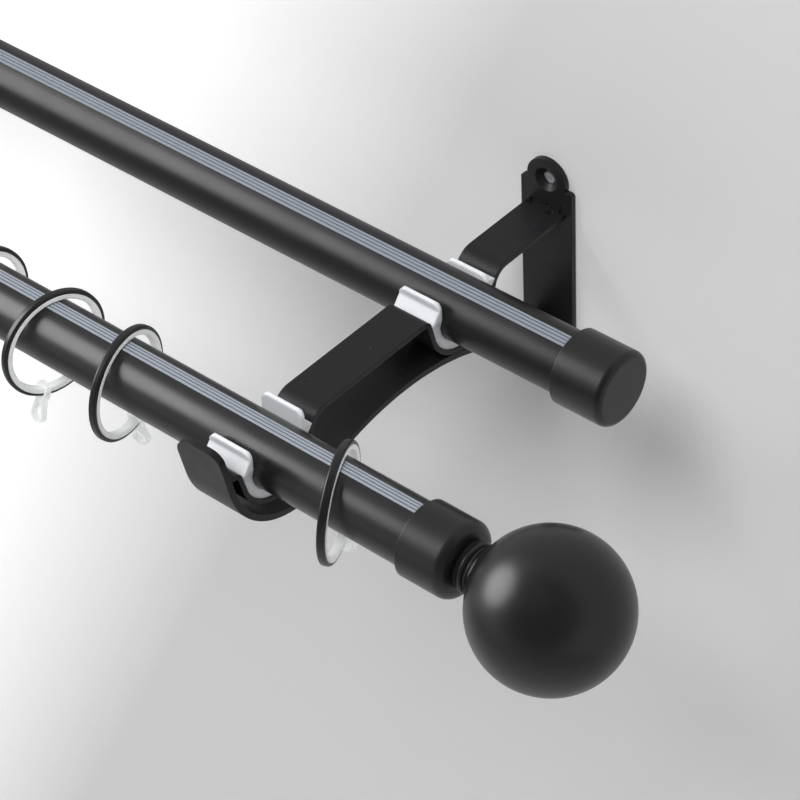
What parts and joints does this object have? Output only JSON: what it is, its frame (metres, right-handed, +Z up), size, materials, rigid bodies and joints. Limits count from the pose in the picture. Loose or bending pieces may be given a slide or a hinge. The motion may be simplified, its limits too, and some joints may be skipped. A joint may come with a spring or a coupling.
{
  "type": "double curtain pole",
  "caption": "Double curtain pole: two grooved black tubes held in bent steel wall brackets, with sliding rings, a plain-capped rear pole and ball finials on the front pole.",
  "frame": {"origin": "on the wall, in the middle of the four wall screws (back face of the wall plates)", "axes": "+X along the poles, towards the end that the picture shows; +Y into the wall; +Z up"},
  "size_m": [1.176, 0.2181, 0.1122],
  "materials": {
    "black_tube": "satin",
    "black_bracket": "matt powder coat",
    "black_fitting": "satin",
    "ring_enamel": "satin",
    "glide_plastic": "satin",
    "white_nylon": "satin",
    "ring_liner_plastic": "translucent",
    "clear_plastic": "clear",
    "plain_steel": "zinc plated"
  },
  "bodies": {
    "pole_set": {"back_glide_strip": "glide_plastic", "back_liner_left": "white_nylon", "back_liner_right": "white_nylon", "back_pole": "black_tube", "brace_left": "black_bracket", "brace_right": "black_bracket", "end_cap_left": "black_fitting", "end_cap_right": "black_fitting", "finial_ball_left": "black_fitting", "finial_ball_right": "black_fitting", "finial_collar_left": "black_fitting", "finial_collar_right": "black_fitting", "finial_stud_left": "plain_steel", "finial_stud_right": "plain_steel", "front_glide_strip": "glide_plastic", "front_liner_left": "white_nylon", "front_liner_right": "white_nylon", "front_pole": "black_tube", "saddle_strip_left": "black_bracket", "saddle_strip_right": "black_bracket", "wall_plate_left": "black_bracket", "wall_plate_right": "black_bracket"},
    "ring_1": {"ring_1": "ring_enamel", "ring_liner_1": "ring_liner_plastic"},
    "eyelet_1": {"ring_eyelet_1": "clear_plastic"},
    "ring_2": {"ring_2": "ring_enamel", "ring_liner_2": "ring_liner_plastic"},
    "eyelet_2": {"ring_eyelet_2": "clear_plastic"},
    "ring_3": {"ring_3": "ring_enamel", "ring_liner_3": "ring_liner_plastic"},
    "eyelet_3": {"ring_eyelet_3": "clear_plastic"},
    "ring_4": {"ring_4": "ring_enamel", "ring_liner_4": "ring_liner_plastic"},
    "eyelet_4": {"ring_eyelet_4": "clear_plastic"},
    "ring_5": {"ring_5": "ring_enamel", "ring_liner_5": "ring_liner_plastic"},
    "eyelet_5": {"ring_eyelet_5": "clear_plastic"},
    "ring_6": {"ring_6": "ring_enamel", "ring_liner_6": "ring_liner_plastic"},
    "eyelet_6": {"ring_eyelet_6": "clear_plastic"},
    "ring_7": {"ring_7": "ring_enamel", "ring_liner_7": "ring_liner_plastic"},
    "eyelet_7": {"ring_eyelet_7": "clear_plastic"},
    "ring_8": {"ring_8": "ring_enamel", "ring_liner_8": "ring_liner_plastic"},
    "eyelet_8": {"ring_eyelet_8": "clear_plastic"}
  },
  "joints": [
    {"name": "ring_1_slide", "type": "slide", "parent": "pole_set", "child": "ring_1", "axis": [1, 0, 0], "range_m": [-0.028, 0.019]},
    {"name": "eyelet_1_swing", "type": "hinge", "parent": "ring_1", "child": "eyelet_1", "pos_m": [-0.453, -0.184, 0.01738], "axis": [0.9327, -0.358, 0.0436], "range_deg": [-35, 35]},
    {"name": "ring_2_slide", "type": "slide", "parent": "pole_set", "child": "ring_2", "axis": [1, 0, 0], "range_m": [-0.051, 0.014]},
    {"name": "eyelet_2_swing", "type": "hinge", "parent": "ring_2", "child": "eyelet_2", "pos_m": [-0.339, -0.184, 0.0172], "axis": [0.9875, 0.1564, -0.0175], "range_deg": [-35, 35]},
    {"name": "ring_3_slide", "type": "slide", "parent": "pole_set", "child": "ring_3", "axis": [1, 0, 0], "range_m": [-0.014, 0.013]},
    {"name": "eyelet_3_swing", "type": "hinge", "parent": "ring_3", "child": "eyelet_3", "pos_m": [-0.295, -0.184, 0.0172], "axis": [0.9781, -0.2079, 0.014], "range_deg": [-35, 35]},
    {"name": "ring_4_slide", "type": "slide", "parent": "pole_set", "child": "ring_4", "axis": [1, 0, 0], "range_m": [-0.013, 0.241]},
    {"name": "eyelet_4_swing", "type": "hinge", "parent": "ring_4", "child": "eyelet_4", "pos_m": [-0.251, -0.184, 0.01722], "axis": [0.9701, 0.2419, -0.0209], "range_deg": [-35, 35]},
    {"name": "ring_5_slide", "type": "slide", "parent": "pole_set", "child": "ring_5", "axis": [1, 0, 0], "range_m": [-0.242, 0.015]},
    {"name": "eyelet_5_swing", "type": "hinge", "parent": "ring_5", "child": "eyelet_5", "pos_m": [0.248, -0.184, 0.01715], "axis": [0.9925, -0.1219, 0], "range_deg": [-35, 35]},
    {"name": "ring_6_slide", "type": "slide", "parent": "pole_set", "child": "ring_6", "axis": [1, 0, 0], "range_m": [-0.016, 0.013]},
    {"name": "eyelet_6_swing", "type": "hinge", "parent": "ring_6", "child": "eyelet_6", "pos_m": [0.2928, -0.184, 0.01717], "axis": [0.9851, -0.1719, -0.007], "range_deg": [-35, 35]},
    {"name": "ring_7_slide", "type": "slide", "parent": "pole_set", "child": "ring_7", "axis": [1, 0, 0], "range_m": [-0.013, 0.054]},
    {"name": "eyelet_7_swing", "type": "hinge", "parent": "ring_7", "child": "eyelet_7", "pos_m": [0.335, -0.184, 0.0172], "axis": [0.9828, 0.1839, -0.0175], "range_deg": [-35, 35]},
    {"name": "ring_8_slide", "type": "slide", "parent": "pole_set", "child": "ring_8", "axis": [1, 0, 0], "range_m": [-0.016, 0.028]},
    {"name": "eyelet_8_swing", "type": "hinge", "parent": "ring_8", "child": "eyelet_8", "pos_m": [0.4505, -0.184, 0.0175], "axis": [0.9081, 0.4157, -0.0506], "range_deg": [-35, 35]}
  ]
}
